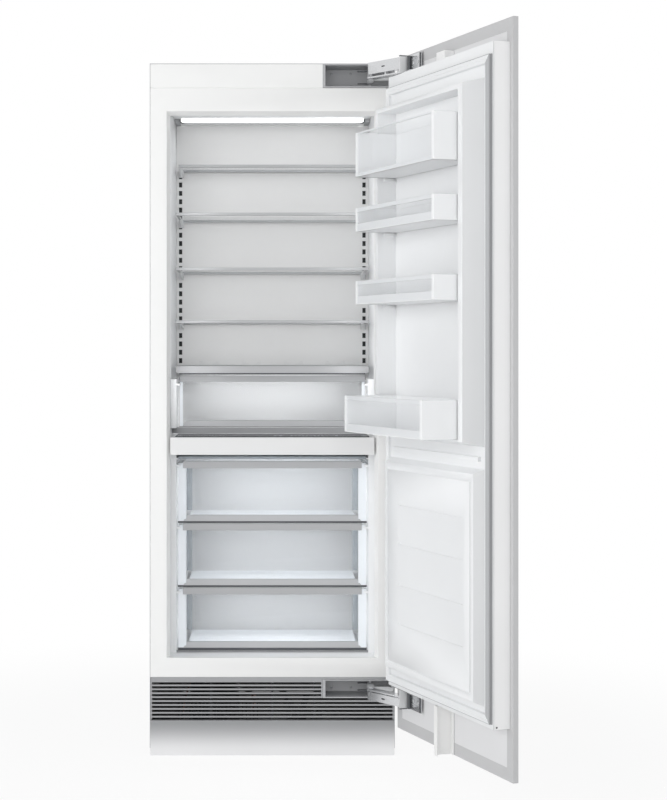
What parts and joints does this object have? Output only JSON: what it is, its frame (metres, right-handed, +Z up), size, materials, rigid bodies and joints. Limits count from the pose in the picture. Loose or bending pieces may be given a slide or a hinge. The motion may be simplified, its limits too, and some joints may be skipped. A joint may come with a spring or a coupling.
{
  "type": "column refrigerator",
  "caption": "Built-in column refrigerator: tall cabinet with glass shelves, clear drawers, lower louvre grille and a panel-ready door on concealed link hinges, standing open.",
  "frame": {"origin": "on the floor, on the plinth's foot, under the middle of the cabinet's front plane", "axes": "+X to the right seen from the front, where the door is hinged; +Y into the cabinet; +Z up"},
  "size_m": [1.0298, 1.3371, 2.134],
  "materials": {
    "sheet_steel": "satin",
    "white_frame": "satin",
    "liner_white": "satin",
    "steel_wall": "satin",
    "control_glass": "gloss",
    "light_diffuser": "matte",
    "foam": "matte",
    "satin_trim": "satin",
    "shelf_glass": "gloss",
    "clear_plastic": "gloss",
    "grille_metal": "satin",
    "plinth_steel": "satin",
    "black_plastic": "matte",
    "black_enamel": "satin",
    "condenser_fins": "satin",
    "evaporator_fins": "satin",
    "pocket_grey": "satin",
    "hinge_chrome": "polished",
    "hinge_dark": "satin",
    "decor_grey": "matte",
    "door_white": "satin",
    "gasket_grey": "matte",
    "bin_white": "satin"
  },
  "bodies": {
    "cabinet": {"cabinet_shell": "sheet_steel", "front_frame": "white_frame", "upper_liner": "liner_white", "lower_liner": "liner_white", "back_panel": "steel_wall", "mullion": "white_frame", "control_panel": "control_glass", "ceiling_light": "light_diffuser", "foam_insulation": "foam", "shelf_frame_1": "satin_trim", "shelf_frame_2": "satin_trim", "shelf_frame_3": "satin_trim", "shelf_frame_4": "satin_trim", "shelf_frame_5": "satin_trim", "shelf_glass_1": "shelf_glass", "shelf_glass_2": "shelf_glass", "shelf_glass_3": "shelf_glass", "shelf_glass_4": "shelf_glass", "shelf_glass_5": "shelf_glass", "bottle_cradle": "clear_plastic", "drawer_cover": "shelf_glass", "grille": "grille_metal", "plinth": "plinth_steel", "base_tray": "sheet_steel", "compressor": "black_enamel", "condenser": "condenser_fins", "evaporator": "evaporator_fins", "hinge_pocket_top": "pocket_grey", "hinge_pocket_bottom": "pocket_grey"},
    "foot_l": {"foot_left": "black_plastic"},
    "foot_r": {"foot_right": "black_plastic"},
    "crisper": {"crisper_tub": "clear_plastic", "crisper_handle": "satin_trim"},
    "drawer_1": {"drawer_tub_1": "clear_plastic", "drawer_handle_1": "satin_trim"},
    "drawer_2": {"drawer_tub_2": "clear_plastic", "drawer_handle_2": "satin_trim"},
    "drawer_3": {"drawer_tub_3": "clear_plastic", "drawer_handle_3": "satin_trim"},
    "cooling_fan": {"condenser_fan": "black_plastic"},
    "cold_fan": {"evaporator_fan": "black_plastic"},
    "door": {"decor_panel": "decor_grey", "door_shell": "door_white", "panel_fixing": "white_frame", "door_liner": "liner_white", "door_gasket": "gasket_grey", "door_bracket_top": "hinge_dark", "door_bracket_bottom": "hinge_dark"},
    "door_bin_1": {"bin_1": "bin_white", "bin_window_1": "clear_plastic"},
    "door_bin_2": {"bin_2": "bin_white", "bin_window_2": "clear_plastic"},
    "door_bin_3": {"bin_3": "bin_white", "bin_window_3": "clear_plastic"},
    "door_bin_4": {"bin_4": "bin_white", "bin_window_4": "clear_plastic"},
    "top_arm": {"hinge_arm_top": "hinge_chrome"},
    "top_link": {"hinge_link_top": "hinge_chrome"},
    "bottom_arm": {"hinge_arm_bottom": "hinge_chrome"},
    "bottom_link": {"hinge_link_bottom": "hinge_chrome"}
  },
  "joints": [
    {"name": "door_swing", "type": "hinge", "parent": "cabinet", "child": "door", "pos_m": [0.3855, -0.0694, 1.1], "axis": [0, 0, 1], "range_deg": [-110, 5]},
    {"name": "top_arm_turn", "type": "hinge", "parent": "cabinet", "child": "top_arm", "pos_m": [0.303, 0.031, 2.1], "axis": [0, 0, 1], "range_deg": [-110, 5]},
    {"name": "top_link_turn", "type": "hinge", "parent": "top_arm", "child": "top_link", "pos_m": [0.303, -0.05, 2.1], "axis": [0, 0, 1], "range_deg": [-5, 110]},
    {"name": "bottom_arm_turn", "type": "hinge", "parent": "cabinet", "child": "bottom_arm", "pos_m": [0.303, 0.031, 0.2], "axis": [0, 0, 1], "range_deg": [-110, 5]},
    {"name": "bottom_link_turn", "type": "hinge", "parent": "bottom_arm", "child": "bottom_link", "pos_m": [0.303, -0.05, 0.2], "axis": [0, 0, 1], "range_deg": [-5, 110]},
    {"name": "crisper_slide", "type": "slide", "parent": "cabinet", "child": "crisper", "axis": [0, -1, 0], "range_m": [0, 0.24]},
    {"name": "drawer_1_slide", "type": "slide", "parent": "cabinet", "child": "drawer_1", "axis": [0, -1, 0], "range_m": [0, 0.32]},
    {"name": "drawer_2_slide", "type": "slide", "parent": "cabinet", "child": "drawer_2", "axis": [0, -1, 0], "range_m": [0, 0.32]},
    {"name": "drawer_3_slide", "type": "slide", "parent": "cabinet", "child": "drawer_3", "axis": [0, -1, 0], "range_m": [0, 0.32]},
    {"name": "cooling_fan_spin", "type": "hinge", "parent": "cabinet", "child": "cooling_fan", "pos_m": [0.09, 0.096, 0.112], "axis": [0, 1, 0], "continuous": true},
    {"name": "cold_fan_spin", "type": "hinge", "parent": "cabinet", "child": "cold_fan", "pos_m": [0, 0.485, 1.76], "axis": [0, 1, 0], "continuous": true},
    {"name": "bin_1_lift", "type": "slide", "parent": "door", "child": "door_bin_1", "axis": [0, 0, 1], "range_m": [0, 0.025]},
    {"name": "bin_2_lift", "type": "slide", "parent": "door", "child": "door_bin_2", "axis": [0, 0, 1], "range_m": [0, 0.025]},
    {"name": "bin_3_lift", "type": "slide", "parent": "door", "child": "door_bin_3", "axis": [0, 0, 1], "range_m": [0, 0.025]},
    {"name": "bin_4_lift", "type": "slide", "parent": "door", "child": "door_bin_4", "axis": [0, 0, 1], "range_m": [0, 0.025]},
    {"name": "foot_left_screw", "type": "slide", "parent": "cabinet", "child": "foot_l", "axis": [0, 0, 1], "range_m": [0, 0.012]},
    {"name": "foot_right_screw", "type": "slide", "parent": "cabinet", "child": "foot_r", "axis": [0, 0, 1], "range_m": [0, 0.012]}
  ],
  "couplings": [
    {"joint": "top_arm_turn", "follows": "door_swing", "ratio": 1},
    {"joint": "top_link_turn", "follows": "door_swing", "ratio": -1},
    {"joint": "bottom_arm_turn", "follows": "door_swing", "ratio": 1},
    {"joint": "bottom_link_turn", "follows": "door_swing", "ratio": -1}
  ]
}
